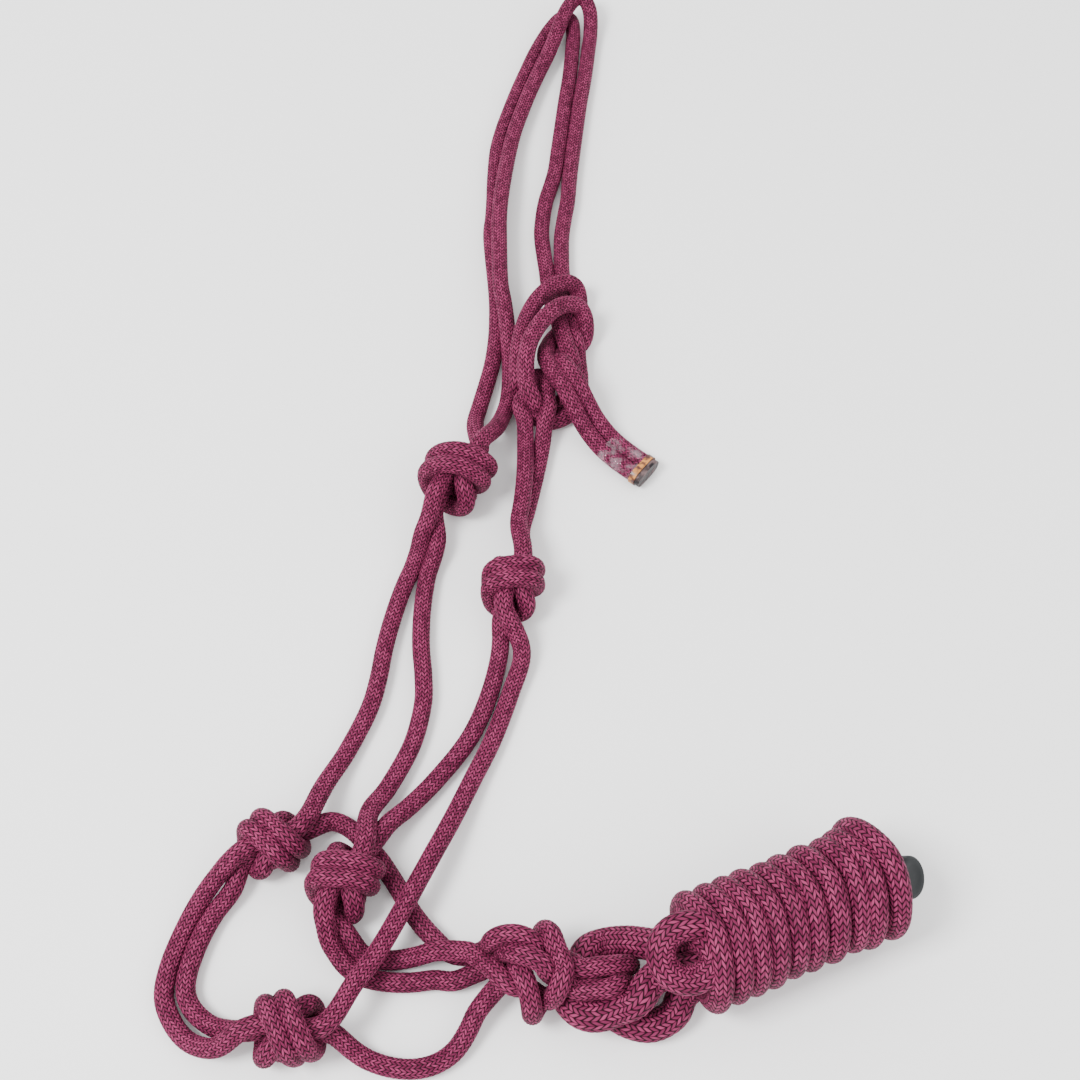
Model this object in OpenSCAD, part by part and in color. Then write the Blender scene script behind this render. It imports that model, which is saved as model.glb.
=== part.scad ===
// Rope halter with its lead rope, laid out on a table, in millimetres.
// +X runs from the nose towards the wound lead, +Y from the chin to the crown, +Z up from the table.
// The halter is one 8 mm rope. Its knots and the stretches between them are separate nodes.

/* [Ropes] */
// Diameter of the halter rope
rope_d = 8; // [7.6:0.1:8]
// Diameter of the lead rope
lead_d = 13; // [12.4:0.2:13]
// Share of its diameter that the rope keeps where it is pulled tight in a knot
squeeze = 0.9; // [0.8:0.02:0.94]

/* [Wound lead] */
// Length of the wound lead along its axis
hank_len = 97; // [94:1:100]
// Outer radius of the wound lead
hank_r = 25; // [24:0.5:25]
// Turns of rope around the wound lead
hank_turns = 10; // [8:1:11]
// Length of the rubber cap on the lead's end
cap_len = 15; // [12:1:18]
// Diameter of the rubber cap
cap_d = 17; // [16:0.5:18]

/* [Moving parts] */
// Gap in each crown rope, on either side of the line where the crown folds up
fold_gap = 0.6; // [0.4:0.1:2]
// Length of the clear sleeve that holds the two crown tails together
sleeve_len = 22; // [18:1:24]
// Thickness of the clear sleeve
sleeve_wall = 0.3; // [0.2:0.1:0.4]

/* [Hidden] */
rope_r = rope_d / 2;
lead_r = lead_d / 2;
tight_r = rope_r * squeeze;
// Sides of a rope's tube, and of the turned pieces
sides = 8;
turned_sides = 48;
// Length over which a rope narrows as it runs into a knot
narrow_len = 14;
plum = [0.56, 0.22, 0.38];
dark_plum = [0.47, 0.17, 0.32];
// The point of the table that the origin sits under. All the routes are given from the table's own zero.
middle = [-0.2, 50.7, 0];
// Where the crown folds up, along Y
fold_y = 160;

// ---- Knots in the doubled rope: centre on the table, heading from entry to exit, turn about it, size ----
NOSE_FAR = [[-110, -151], 37, 90, 0.75];
NOSE_NEAR = [[-98, -227.5], 14, 90, 0.88];
THROAT = [[-79, -167], -108, 90, 0.88];
CHEEK_FAR = [[-38, 26], -112, 90, 1.0];
CHEEK_NEAR = [[-12, -30], -96, 90, 0.82];

// One strand's way through a doubled overhand knot, as [distance along, distance out, degrees round],
// in rope diameters: in along one side of the core, one and a half turns back round it, out along the other.
OVERHAND = [
    [-2.2, 0.75, 0], [-1.4, 0.68, 0], [-0.4, 0.65, 0], [0.4, 0.7, 0], [0.85, 0.9, 5], [1.0, 1.3, 30],
    [0.95, 1.6, 65], [0.75, 1.7, 120], [0.4, 1.7, 195], [0, 1.7, 270], [-0.4, 1.7, 345],
    [-0.75, 1.7, 420], [-0.95, 1.6, 475], [-1.0, 1.3, 510], [-0.85, 0.9, 535],
    [-0.4, 0.7, 540], [0.4, 0.65, 540], [1.4, 0.68, 540], [2.2, 0.75, 540]
];
// How far the two strands lie apart in the wrap, as a half distance along, and in the core, as a half turn
wrap_shift = 0.5;
core_turn = 45;
// Where a strand counts as being in the core or in the wrap, as its distance out
core_out = 0.75;
wrap_out = 1.45;
// Height of the middle of the core over the table
core_height = 2.2;

// ---- Functions ----
function unit(v) = v / norm(v);
function flat(angle) = [cos(angle), sin(angle), 0];
function first(p) = p[0];
function last(p) = p[len(p) - 1];

// A place in a knot from its distance along, out and round, in rope diameters
function in_knot(k, s, out, round) =
    let (d = rope_d * k[3], a = k[2] + round)
    [k[0][0], k[0][1], core_height * d]
        + s * d * flat(k[1])
        + out * d * (cos(a) * [0, 0, 1] + sin(a) * flat(k[1] + 90));
// How far a strand that lies this far out has left the core, 0, for the wrap, 1
function wrapped(out) = max(0, min(1, (out - core_out) / (wrap_out - core_out)));
// One of the two strands through a knot: the upper one at both ends, or the lower one
function through(k, strand) = [
    for (p = OVERHAND)
        let (w = wrapped(p[1]))
        in_knot(k, p[0] + strand * wrap_shift * w, p[1], p[2] - strand * core_turn * (1 - w))
];
// The ends of the strands, where the ropes between the knots begin and end
function way_in(k, strand) = first(through(k, strand));
function way_out(k, strand) = last(through(k, strand));

// A place on the face of the big chin knot, which leans back towards the crown: right, up the face, out of it
lean = 30;
CHIN_KNOT = [-3, -206, 18];
function on_face(p) =
    CHIN_KNOT + [p[0], p[1] * cos(lean) - p[2] * sin(lean), p[1] * sin(lean) + p[2] * cos(lean)];

// A smooth curve through a route, with steps pieces between neighbouring points
function along(p, i, t) =
    let (a = p[max(i - 1, 0)], b = p[i], c = p[i + 1], d = p[min(i + 2, len(p) - 1)])
    0.5 * (2 * b + (c - a) * t + (2 * a - 5 * b + 4 * c - d) * t * t + (3 * b - a - 3 * c + d) * t * t * t);
function smooth(p, steps) = concat(
    [for (i = [0 : len(p) - 2]) for (k = [0 : steps - 1]) along(p, i, k / steps)],
    [last(p)]
);

// The points of a tube's rings round a route, and the faces between them
function ring(c, t, r, up) =
    let (x = unit(cross(t, up)), y = cross(x, t))
    [for (k = [0 : sides - 1]) c + r * (cos(360 * k / sides) * x + sin(360 * k / sides) * y)];
// A route lifted wherever its rope would sink into the table
function on_table(p, r) = [for (i = [0 : len(p) - 1]) [p[i][0], p[i][1], max(p[i][2], r[i])]];
function heading(p, i) = unit(p[min(i + 1, len(p) - 1)] - p[max(i - 1, 0)]);
function tube_points(p, r, up) = [for (i = [0 : len(p) - 1]) each ring(p[i], heading(p, i), r[i], up)];
function tube_faces(n) = concat(
    [[for (k = [sides - 1 : -1 : 0]) k]],
    [for (i = [0 : n - 2]) for (k = [0 : sides - 1])
        let (a = i * sides + k, b = i * sides + (k + 1) % sides)
        [a, b, b + sides, a + sides]],
    [[for (k = [0 : sides - 1]) (n - 1) * sides + k]]
);
// A radius that grows from start to r over the first narrow_len, and shrinks to end over the last
function narrowed(p, r, start, end) = [
    for (q = p)
        let (
            a = min(1, norm(q - first(p)) / narrow_len),
            b = min(1, norm(q - last(p)) / narrow_len)
        )
        min(start + (r - start) * a, end + (r - end) * b)
];
function knot_r(k) = tight_r * k[3];

// ---- The big chin knot: each rope's way over its face and back behind it ----
CHIN_KNOT_ROPES = [
    [[-21, 5, -7], [-14, 1, 0], [-6, -3, 6], [0, -6, 3], [5, -11, 1], [9, -7.5, 8], [13, -2, 9], [13, 4.6, 8.5],
        [9, 10.5, 7], [6.5, 15, 4], [5, 17, -2], [3, 12, -9], [6, 4, -12], [14, -2, -13]],
    [[-21, -0.4, -14.5], [-17, 6, -9], [-17, 11, -2], [-13, 15, 3], [-7, 16, 5], [0, 13.5, 5.5], [6, 10, 1],
        [11, 6, 0], [17, 2.1, 5.7]],
    [[-21.3, -6, -10.2], [-14, 2, -9], [-11, 8, -1], [-7, 9.5, 6], [-2, 9, 10], [3, 7, 11], [7, 3, 9], [9, -1, 4],
        [12, -4, 2], [17, -5.5, 7]],
    [[-18, -11, -3], [-13, -6, -4], [-8, 0, 0], [-5, 3, 7], [-2, -2, 11], [-0.5, -9, 11], [0, -15, 7],
        [0, -17, 0], [2, -14, -6], [6, -11, -8], [14, -11, -8.5]]
];
// Where each of those ropes enters the knot and leaves it
function chin_in(i) = on_face(first(CHIN_KNOT_ROPES[i]));
function chin_out(i) = on_face(last(CHIN_KNOT_ROPES[i]));

// ---- Routes of the ropes between the knots, from the table's zero ----
NOSEBAND_OUTER = concat([way_in(NOSE_FAR, 1)], [
    [-130, -163, 12], [-138.5, -173, 6], [-145, -187, 4], [-149, -201, 4], [-149.5, -213, 4], [-144, -224, 4],
    [-136, -231, 5], [-125, -233.5, 11]
], [way_in(NOSE_NEAR, 1)]);
NOSEBAND_INNER = concat([way_in(NOSE_FAR, -1)], [
    [-125.5, -168, 6], [-132.5, -178, 4], [-137.5, -189, 4], [-141, -202, 4], [-141, -211, 4], [-137, -218, 4],
    [-130, -223.5, 4.5], [-123, -226, 7]
], [way_in(NOSE_NEAR, -1)]);
CHEEK_ROPE_FAR = concat([way_out(CHEEK_FAR, -1)], [
    [-52.5, -6, 8.5], [-57.5, -16, 4.5], [-62, -28, 4], [-66, -43, 4], [-69, -58, 4], [-71, -73, 4], [-74.5, -88, 4],
    [-83, -108, 4.5], [-91, -125, 9]
], [way_out(NOSE_FAR, -1)]);
CHEEK_ROPE_NEAR = concat([way_out(CHEEK_NEAR, -1)], [
    [-8, -60, 7], [-13, -80, 4], [-20.5, -102, 4], [-28, -119, 5], [-36, -138, 8], [-44.5, -157, 12.2],
    [-54, -177, 14], [-61.5, -192, 15], [-67, -202, 16.5], [-73, -211, 18]
], [way_out(NOSE_NEAR, -1)]);
THROAT_ROPE_FAR = concat([way_out(CHEEK_FAR, 1)], [
    [-49, -6, 8], [-50.3, -16, 4.5], [-52, -28, 4], [-53, -42, 4], [-52.8, -57, 4], [-51.3, -71, 4], [-51, -85, 4],
    [-55, -104, 4], [-64, -124, 6], [-71, -138, 12]
], [way_in(THROAT, 1)]);
THROAT_ROPE_NEAR = concat([way_out(CHEEK_NEAR, 1)], [
    [-18, -62, 5], [-23, -83, 4], [-31, -102, 4], [-44, -120, 4], [-55, -133, 6], [-63, -142, 10]
], [way_in(THROAT, -1)]);
CHIN_ROPE_FAR = concat([way_out(NOSE_FAR, 1)], [
    [-88, -139.5, 6], [-80, -141.5, 4], [-72, -149, 4], [-64, -159, 4], [-58, -168, 4], [-52, -178, 4],
    [-43.5, -188, 4], [-34, -195.5, 4.2]
], [chin_in(1)]);
CHIN_ROPE_NEAR = concat([way_out(NOSE_NEAR, 1)], [
    [-73, -233.5, 6], [-66.5, -237, 4], [-57.5, -239.7, 4], [-48.5, -240.2, 4], [-40, -238, 4], [-33, -233, 4.5],
    [-28, -225.5, 6], [-24.5, -219, 9]
], [chin_in(3)]);
JAW_ROPE_UPPER = concat([way_out(THROAT, 1)], [
    [-77, -190, 7], [-71, -195.5, 4], [-61, -197.5, 4], [-51, -197, 6.5], [-42, -196, 11.5], [-33, -196.5, 13.6]
], [chin_in(0)]);
JAW_ROPE_LOWER = concat([way_out(THROAT, -1)], [
    [-83, -191.5, 8.5], [-79, -198.5, 5], [-72.5, -203.5, 4], [-63, -206, 4], [-52, -206.5, 4], [-42, -205.5, 4.5],
    [-33, -206, 5.5]
], [chin_in(2)]);

// The loops that leave the chin knot, pass round the lead and run back into it
HEEL_LOOP_FAR = concat([chin_out(1)], [
    [22, -206, 24.5], [29, -205, 23], [35, -203, 17], [35, -201, 9], [29, -200, 4.4], [20, -200.5, 4]
], [chin_out(0)]);
HEEL_LOOP_NEAR = concat([chin_out(2)], [
    [22, -214.5, 24], [29, -214, 23], [36, -212.5, 17], [36, -211, 9], [29, -210, 4.4], [20, -210.5, 4]
], [chin_out(3)]);

// ---- The crown: two ropes side by side, up from the far cheek knot, over the top and down to the tie ----
CROWN_LEG_OUTER = concat([way_in(CHEEK_FAR, -1)], [
    [-30, 52, 9], [-31, 62, 5], [-28.8, 73, 4], [-25.7, 86, 4], [-23.3, 98, 4], [-21.8, 112, 4], [-21.5, 128, 4],
    [-22.2, 143, 4]
], [[-24.3, fold_y - fold_gap, 4]]);
CROWN_LEG_INNER = concat([way_in(CHEEK_FAR, 1)], [
    [-21.5, 52, 14], [-18.7, 62, 7], [-15.8, 73, 4.5], [-14.7, 85, 4], [-14.7, 98, 4.5], [-15.8, 112, 9],
    [-17.6, 128, 11], [-19.8, 143, 11.7]
], [[-20.8, fold_y - fold_gap, 11.3]]);
CROWN_OUTER = [
    [-24.3, fold_y + fold_gap, 4], [-25.2, 176, 4], [-24.5, 190, 4], [-24.1, 202, 4], [-23.9, 216, 4],
    [-22.9, 235, 4], [-20.4, 249, 4], [-17, 262, 4], [-13.4, 274, 4], [-8.2, 291, 4], [-2.5, 308, 4], [5, 325, 4],
    [12, 335, 4], [17.5, 333, 4], [18.5, 322, 4], [17.6, 307, 4], [16.1, 290, 4], [13.9, 273, 4], [12.6, 262, 4],
    [11, 248, 4], [9.5, 235, 4], [8, 222, 4], [5.8, 212, 4], [3, 201, 4], [1.3, 188, 4], [1, 175, 4],
    [2.8, fold_y + fold_gap, 4]
];
CROWN_INNER = [
    [-20.8, fold_y + fold_gap, 11.3], [-20.8, 176, 10.8], [-20.6, 190, 11], [-19.7, 202, 10.6],
    [-18, 218, 9.3], [-15.8, 235, 7.5], [-13.2, 249, 7], [-9.8, 262, 6.8], [-6, 276, 6.5], [-1, 290, 6.5],
    [4.5, 304, 7.5], [9.5, 318, 10], [14, 331, 12.3], [19, 340, 12.5], [24, 341.5, 12.5], [27.8, 334, 10],
    [28, 322, 5], [26.6, 309, 4], [24.6, 291, 4], [22, 273, 4], [20.6, 262, 4], [19, 248, 4], [17.5, 235, 4],
    [16.1, 222, 4], [15.3, 213, 4], [14.3, 201, 4], [12.4, 188, 4], [11, 175, 4], [10.4, fold_y + fold_gap, 4]
];
TIE_LEFT = [
    [2.8, fold_y - fold_gap, 4], [4, 150, 4], [5.5, 138, 5], [8, 124, 9], [10.8, 110, 13], [13.6, 97, 14],
    [15, 85, 12], [13.5, 76, 7], [8, 72, 4], [0, 71, 4], [-6.5, 73, 10], [-9.5, 80, 17], [-10.2, 91, 20],
    [-9, 103, 19.5], [-6, 115, 19], [-1, 126, 18.5], [6, 134.5, 17.5], [13.5, 139, 15], [18.5, 139, 10],
    [19.5, 133, 5], [15.5, 125, 4], [10, 116, 5], [5, 107, 8], [3.5, 97, 13], [5.5, 87, 18], [10.5, 78.5, 19.5]
];
TIE_RIGHT = [
    [10.4, fold_y - fold_gap, 4], [11.2, 150, 4], [12.8, 138, 4], [14.5, 124, 5], [16.5, 110, 5.5], [18.6, 97, 5.5],
    [19.5, 85, 5], [17.5, 71.5, 4], [9.5, 64.5, 4], [1.5, 63.5, 4], [-4.5, 67, 9], [-7, 74, 17], [-7.2, 84, 23.5],
    [-5, 95, 25], [-0.5, 105, 25], [5.5, 114, 24], [12, 120, 21.5], [18.8, 122.5, 17], [22.5, 118, 10.5],
    [20.5, 110, 4.5], [14.5, 105, 4], [9, 99, 8], [8, 91, 15], [12, 83.5, 19.5]
];
// The tie loop's two legs rise from the near cheek knot and join round the top
TIE_LOOP = concat([way_in(CHEEK_NEAR, 1)], [
    [-9.8, 1, 13], [-8.5, 12, 12], [-7.3, 25, 11], [-6.9, 36, 9.6], [-6.9, 47, 7.5], [-7, 58, 9],
    [-7.2, 70, 12], [-6, 79, 12], [-3, 84.5, 11], [0.8, 84.5, 11], [3.2, 78, 12], [3.3, 69, 12], [2.2, 58, 8.5],
    [0.8, 48, 4.5], [-1.3, 36, 4], [-3.7, 24, 4], [-6.3, 12, 4], [-8.5, 1, 5.5]
], [way_in(CHEEK_NEAR, -1)]);

// ---- The two crown tails, side by side, and what binds their ends ----
tail_tip = [51, 33];
tail_angle = -39;
// The tails lie side by side, just clear of each other
tail_side = rope_r + 0.05;
// Length over which the tails run straight to their tip
straight_len = 9;
// Lengths of the melted end and of the band at the sleeve's end
end_len = 2.5;
band_len = 3;
TAIL_MIDDLE = [
    [15.5, 72, 19], [19, 66, 15.5], [24, 58.5, 10], [30.5, 51, 6], [37, 44.8, 4.6]
];
function beside(p, side) = p + side * tail_side * flat(tail_angle + 90);
function on_tail(back) = [tail_tip[0], tail_tip[1], rope_r + 2 * sleeve_wall] - back * flat(tail_angle);
function tail(side) = concat(
    [for (p = TAIL_MIDDLE) beside(p, side)],
    [beside(on_tail(straight_len), side), beside(on_tail(end_len), side)]
);

// ---- The lead: its loop through the heel loops, the loose turn under it and the wound rest ----
LEAD_LOOP = [
    [51, -197, 21], [45, -195.5, 18.5], [39, -193.5, 15], [32, -192, 11], [25, -192.5, 9], [19, -196, 11],
    [15.5, -203, 13.6], [11.5, -209.5, 13], [11, -215.5, 12.7], [16, -220.5, 14], [24, -222, 16], [32, -219, 18],
    [41, -212.5, 20.5], [50, -206, 22]
];
LEAD_UNDER = [
    [22, -211.5, 6.5], [29, -219, 6.5], [37, -223.5, 6.5], [45, -224, 6.5], [53, -219.5, 7.5], [57, -212, 10]
];
hank_start = [56, -203];
hank_angle = 22.5;
// Radius of the wound lead's rounded near end. The lead turns about an upright axis through its centre.
dome = hank_r + 0.6;
eye_centre = [56.5, -205, 40];
eye_r = 10.5;
// The cap leans up out of the hank, towards the near side
cap_place = [137.1, -169.5, 23];
cap_turn = [0, 45, -19];

// ---- Shapes ----
// A rope along a route, as one tube. up is any direction that the route never runs in.
module rope(route, r = rope_r, start = rope_r, end = rope_r, steps = 2, up = [0, 0, 1]) {
    p = smooth(route, steps);
    radii = narrowed(p, r, start, end);
    translate(-middle) polyhedron(tube_points(on_table(p, radii), radii, up), tube_faces(len(p)));
}
// A rope that turns on itself, as a chain of short rounded lengths
module tight_rope(p, r) {
    translate(-middle)
        for (i = [0 : len(p) - 2]) hull() {
            translate(p[i]) sphere(r, $fn = sides);
            translate(p[i + 1]) sphere(r, $fn = sides);
        }
}
module overhand(k) {
    for (strand = [1, -1]) tight_rope(through(k, strand), knot_r(k));
}
// A flat-sided outline with round ends, across both tails, pushed along the tails from back to front
module across_tails(back, front, grow) {
    translate(-middle) translate(on_tail(back)) rotate([90, 0, tail_angle + 90])
        linear_extrude(back - front) {
            square([2 * tail_side, 2 * (rope_r + grow)], center = true);
            for (side = [-1, 1]) translate([side * tail_side, 0]) circle(rope_r + grow, $fn = turned_sides);
        }
}

module nose_knot_far() { color(plum) overhand(NOSE_FAR); }
module nose_knot_near() { color(plum) overhand(NOSE_NEAR); }
module throat_knot() { color(plum) overhand(THROAT); }
module cheek_knot_far() { color(plum) overhand(CHEEK_FAR); }
module cheek_knot_near() { color(plum) overhand(CHEEK_NEAR); }
module noseband_outer() {
    color(plum) rope(NOSEBAND_OUTER, start = knot_r(NOSE_FAR), end = knot_r(NOSE_NEAR));
}
module noseband_inner() {
    color(plum) rope(NOSEBAND_INNER, start = knot_r(NOSE_FAR), end = knot_r(NOSE_NEAR));
}
module cheek_rope_far() {
    color(plum) rope(CHEEK_ROPE_FAR, start = knot_r(CHEEK_FAR), end = knot_r(NOSE_FAR));
}
module cheek_rope_near() {
    color(plum) rope(CHEEK_ROPE_NEAR, start = knot_r(CHEEK_NEAR), end = knot_r(NOSE_NEAR));
}
module throat_rope_far() {
    color(plum) rope(THROAT_ROPE_FAR, start = knot_r(CHEEK_FAR), end = knot_r(THROAT));
}
module throat_rope_near() {
    color(plum) rope(THROAT_ROPE_NEAR, start = knot_r(CHEEK_NEAR), end = knot_r(THROAT));
}
module chin_rope_far() { color(plum) rope(CHIN_ROPE_FAR, start = knot_r(NOSE_FAR), end = tight_r); }
module chin_rope_near() {
    color(plum) rope(CHIN_ROPE_NEAR, start = knot_r(NOSE_NEAR), end = tight_r);
}
module jaw_rope_upper() { color(plum) rope(JAW_ROPE_UPPER, start = knot_r(THROAT), end = tight_r); }
module jaw_rope_lower() { color(plum) rope(JAW_ROPE_LOWER, start = knot_r(THROAT), end = tight_r); }
module chin_knot() {
    color(plum)
        for (route = CHIN_KNOT_ROPES) tight_rope([for (p = route) on_face(p)], tight_r);
}
module heel_loop_far() {
    color(plum) rope(HEEL_LOOP_FAR, start = tight_r, end = tight_r, up = [0, 1, 0]);
}
module heel_loop_near() {
    color(plum) rope(HEEL_LOOP_NEAR, start = tight_r, end = tight_r, up = [0, 1, 0]);
}
module crown_leg_outer() { color(plum) rope(CROWN_LEG_OUTER, start = knot_r(CHEEK_FAR)); }
module crown_leg_inner() { color(plum) rope(CROWN_LEG_INNER, start = knot_r(CHEEK_FAR)); }
module crown_outer() { color(plum) rope(CROWN_OUTER); }
module crown_inner() { color(plum) rope(CROWN_INNER); }
module tie_left() { color(plum) rope(TIE_LEFT); }
module tie_right() { color(plum) rope(TIE_RIGHT); }
module tie_loop() {
    color(plum) rope(TIE_LOOP, start = knot_r(CHEEK_NEAR), end = knot_r(CHEEK_NEAR));
}
module tail_left() { color(dark_plum) rope(tail(-1)); }
module tail_right() { color(dark_plum) rope(tail(1)); }
module tail_sleeve() {
    color([0.85, 0.8, 0.82, 0.4]) difference() {
        across_tails(end_len + sleeve_len, end_len + band_len, 2 * sleeve_wall);
        across_tails(end_len + sleeve_len + 1, end_len, sleeve_wall);
    }
}
module tail_band() {
    color([0.75, 0.42, 0.15]) difference() {
        across_tails(end_len + band_len, end_len, 2 * sleeve_wall);
        across_tails(end_len + band_len + 1, 0, sleeve_wall);
    }
}
module tail_end() { color([0.45, 0.36, 0.36]) across_tails(end_len, 0, 0); }
module lead_loop() { color(plum) rope(LEAD_LOOP, r = lead_r, start = lead_r, end = lead_r); }
module lead_under() { color(plum) rope(LEAD_UNDER, r = lead_r, start = lead_r, end = lead_r); }
module lead_eye() {
    color(plum) translate(-middle) translate(eye_centre) rotate([lean, 0, 0])
        rotate_extrude() translate([eye_r, 0]) circle(lead_r * squeeze, $fn = turned_sides);
}
module lead_hank() {
    pitch = (hank_len - lead_d) / (hank_turns - 1);
    wrap_r = hank_r - lead_r;
    color(plum) translate(-middle) translate([hank_start[0], hank_start[1], hank_r]) rotate([0, 90, hank_angle])
        rotate_extrude() intersection() {
            union() {
                translate([0, lead_r]) square([wrap_r, hank_len - lead_d]);
                for (i = [0 : hank_turns - 1]) {
                    s = lead_r + i * pitch;
                    off = max(0, dome - s);
                    translate([sqrt(max(0, wrap_r * wrap_r - off * off)), s]) circle(lead_r, $fn = turned_sides);
                }
            }
            translate([0, -hank_len]) square([hank_r, 3 * hank_len]);
        }
}
module lead_end_cap() {
    color([0.16, 0.17, 0.18]) translate(-middle) translate(cap_place) rotate(cap_turn)
        cylinder(h = cap_len, d = cap_d, $fn = turned_sides);
}

nose_knot_far();
nose_knot_near();
throat_knot();
cheek_knot_far();
cheek_knot_near();
noseband_outer();
noseband_inner();
cheek_rope_far();
cheek_rope_near();
throat_rope_far();
throat_rope_near();
chin_rope_far();
chin_rope_near();
jaw_rope_upper();
jaw_rope_lower();
chin_knot();
heel_loop_far();
heel_loop_near();
crown_leg_outer();
crown_leg_inner();
crown_outer();
crown_inner();
tie_left();
tie_right();
tie_loop();
tail_left();
tail_right();
tail_sleeve();
tail_band();
tail_end();
lead_loop();
lead_under();
lead_eye();
lead_hank();
lead_end_cap();
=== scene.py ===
"""The looks of a rope halter and its lead rope, laid out on a pale floor, around the fixed CAD frame.

Everything is in metres. The halter is one braided rope, and its route runs through every knot in turn. The
route is pulled tight against itself by a short, fixed relaxation, and a braided tube is laid along it. The tube
is then cut into pieces where the named parts of the CAD model meet.
"""
import math

import bpy
import numpy as np
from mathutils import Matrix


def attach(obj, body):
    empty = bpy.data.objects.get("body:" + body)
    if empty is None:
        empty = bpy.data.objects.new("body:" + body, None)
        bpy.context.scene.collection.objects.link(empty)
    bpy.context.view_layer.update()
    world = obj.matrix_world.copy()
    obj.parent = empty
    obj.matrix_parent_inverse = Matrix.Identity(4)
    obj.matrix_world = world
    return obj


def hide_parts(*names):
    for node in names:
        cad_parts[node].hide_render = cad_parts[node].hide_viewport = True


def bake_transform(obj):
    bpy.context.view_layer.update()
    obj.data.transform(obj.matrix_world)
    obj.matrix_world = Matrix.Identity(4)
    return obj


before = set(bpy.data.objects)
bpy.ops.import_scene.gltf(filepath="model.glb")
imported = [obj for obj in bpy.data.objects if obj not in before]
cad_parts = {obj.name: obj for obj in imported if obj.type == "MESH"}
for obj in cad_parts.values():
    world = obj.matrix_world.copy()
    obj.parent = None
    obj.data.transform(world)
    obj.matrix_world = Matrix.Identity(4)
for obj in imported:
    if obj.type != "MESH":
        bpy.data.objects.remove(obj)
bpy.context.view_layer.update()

# ---- Driving sizes, in metres ----
ROPE_D = 0.008
LEAD_D = 0.013
HANK_R = 0.025
HANK_LEN = 0.097
HANK_TURNS = 10
# The table's point under the origin. Routes start from the table's zero.
MIDDLE = np.array([-0.0002, 0.0507, 0.0])

# ---- Routes between the knots, from the table's zero ----
NOSEBAND_OUTER = [
    (-0.13, -0.163, 0.012), (-0.1385, -0.173, 0.006), (-0.145, -0.187, 0.004), (-0.149, -0.201, 0.004),
    (-0.1495, -0.213, 0.004), (-0.144, -0.224, 0.004), (-0.136, -0.231, 0.005), (-0.125, -0.2335, 0.011),
]
NOSEBAND_INNER = [
    (-0.1255, -0.168, 0.006), (-0.1325, -0.178, 0.004), (-0.1375, -0.189, 0.004), (-0.141, -0.202, 0.004),
    (-0.141, -0.211, 0.004), (-0.137, -0.218, 0.004), (-0.13, -0.2235, 0.0045), (-0.123, -0.226, 0.007),
]
CHEEK_ROPE_FAR = [
    (-0.0525, -0.006, 0.0085), (-0.0575, -0.016, 0.0045), (-0.062, -0.028, 0.004), (-0.066, -0.043, 0.004),
    (-0.069, -0.058, 0.004), (-0.071, -0.073, 0.004), (-0.0745, -0.088, 0.004), (-0.083, -0.108, 0.0045),
    (-0.091, -0.125, 0.009),
]
CHEEK_ROPE_NEAR = [
    (-0.008, -0.06, 0.007), (-0.013, -0.08, 0.004), (-0.0205, -0.102, 0.004), (-0.028, -0.119, 0.005),
    (-0.036, -0.138, 0.008), (-0.0445, -0.157, 0.0122), (-0.054, -0.177, 0.014), (-0.0615, -0.192, 0.015),
    (-0.067, -0.202, 0.0165), (-0.073, -0.211, 0.018),
]
THROAT_ROPE_FAR = [
    (-0.049, -0.006, 0.008), (-0.0503, -0.016, 0.0045), (-0.052, -0.028, 0.004), (-0.053, -0.042, 0.004),
    (-0.0528, -0.057, 0.004), (-0.0513, -0.071, 0.004), (-0.051, -0.085, 0.004), (-0.055, -0.104, 0.004),
    (-0.064, -0.124, 0.006), (-0.071, -0.138, 0.012),
]
THROAT_ROPE_NEAR = [
    (-0.018, -0.062, 0.005), (-0.023, -0.083, 0.004), (-0.031, -0.102, 0.004), (-0.044, -0.12, 0.004),
    (-0.055, -0.133, 0.006), (-0.063, -0.142, 0.01),
]
CHIN_ROPE_FAR = [
    (-0.088, -0.1395, 0.006), (-0.08, -0.1415, 0.004), (-0.072, -0.149, 0.004), (-0.064, -0.159, 0.004),
    (-0.058, -0.168, 0.004), (-0.052, -0.178, 0.004), (-0.0435, -0.188, 0.004), (-0.034, -0.1955, 0.0042),
]
CHIN_ROPE_NEAR = [
    (-0.073, -0.2335, 0.006), (-0.0665, -0.237, 0.004), (-0.0575, -0.2397, 0.004),
    (-0.0485, -0.2402, 0.004), (-0.04, -0.238, 0.004), (-0.033, -0.233, 0.0045), (-0.028, -0.2255, 0.006),
    (-0.0245, -0.219, 0.009),
]
JAW_ROPE_UPPER = [
    (-0.077, -0.19, 0.007), (-0.071, -0.1955, 0.004), (-0.061, -0.1975, 0.004), (-0.051, -0.197, 0.0065),
    (-0.042, -0.196, 0.0115), (-0.033, -0.1965, 0.0136),
]
JAW_ROPE_LOWER = [
    (-0.083, -0.1915, 0.0085), (-0.079, -0.1985, 0.005), (-0.0725, -0.2035, 0.004), (-0.063, -0.206, 0.004),
    (-0.052, -0.2065, 0.004), (-0.042, -0.2055, 0.0045), (-0.033, -0.206, 0.0055),
]
HEEL_LOOP_FAR = [
    (0.022, -0.206, 0.0245), (0.029, -0.205, 0.023), (0.035, -0.203, 0.017), (0.035, -0.201, 0.009),
    (0.029, -0.2, 0.0044), (0.02, -0.2005, 0.004),
]
HEEL_LOOP_NEAR = [
    (0.022, -0.2145, 0.024), (0.029, -0.214, 0.023), (0.036, -0.2125, 0.017), (0.036, -0.211, 0.009),
    (0.029, -0.21, 0.0044), (0.02, -0.2105, 0.004),
]
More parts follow.
